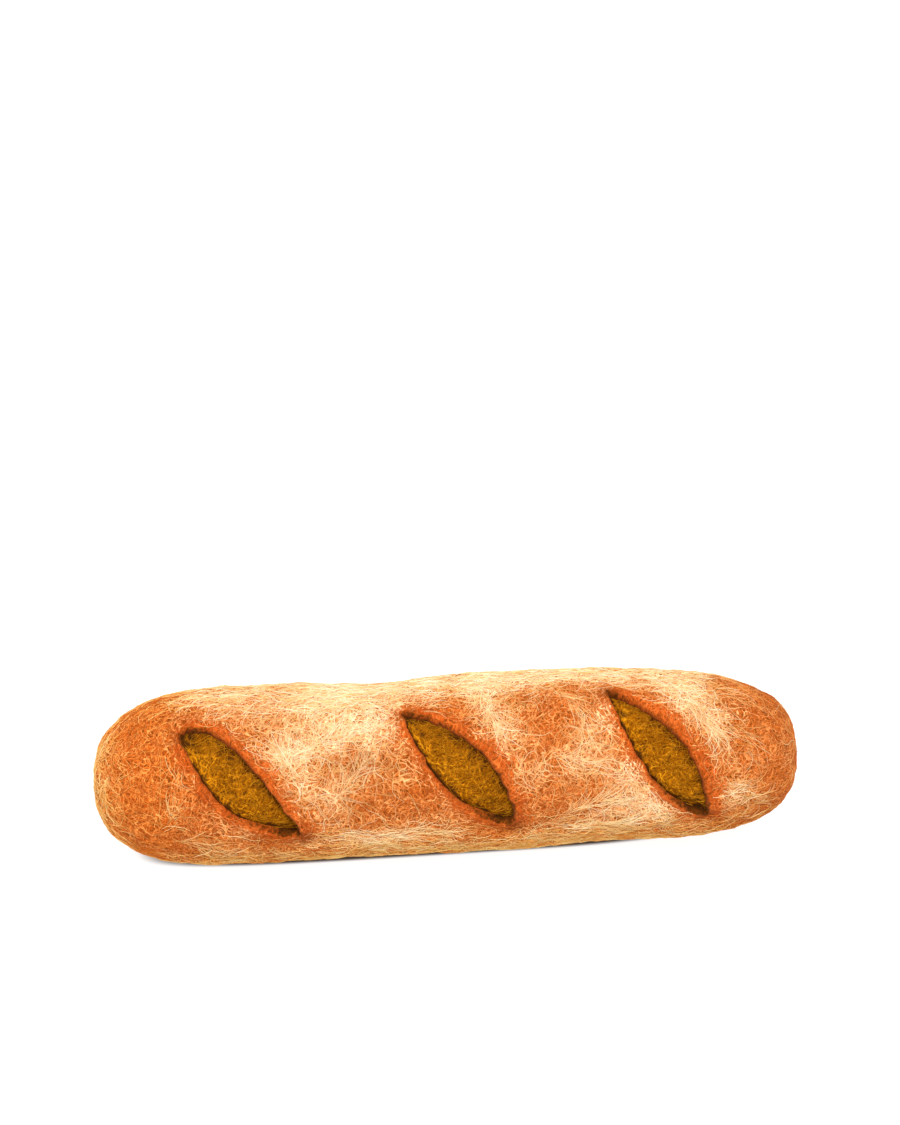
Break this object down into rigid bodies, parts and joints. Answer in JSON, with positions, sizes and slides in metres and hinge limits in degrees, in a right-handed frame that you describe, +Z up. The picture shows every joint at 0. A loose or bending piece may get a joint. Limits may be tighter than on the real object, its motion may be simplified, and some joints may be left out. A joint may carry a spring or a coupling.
{
  "type": "felted wool play baguette",
  "caption": "Soft felted wool play baguette: a long round loaf with slanting leaf-shaped slashes, each with a rolled lip and a sunken wool pad.",
  "frame": {"origin": "on the surface that the loaf lies on, under the middle of its bounding box", "axes": "+X along the loaf, -Y to its front, where the slashes face forward and up, +Z up"},
  "size_m": [0.24, 0.063, 0.0592],
  "materials": {
    "crust_wool": "needle-felted wool, rust orange under a web of cream and peach fibres, matt",
    "slash_wool": "needle-felted wool, mustard brown with dark brown edges, matt"
  },
  "bodies": {
    "root": {"loaf": "crust_wool", "slash_pad_1": "slash_wool", "slash_pad_2": "slash_wool", "slash_pad_3": "slash_wool"}
  },
  "joints": []
}
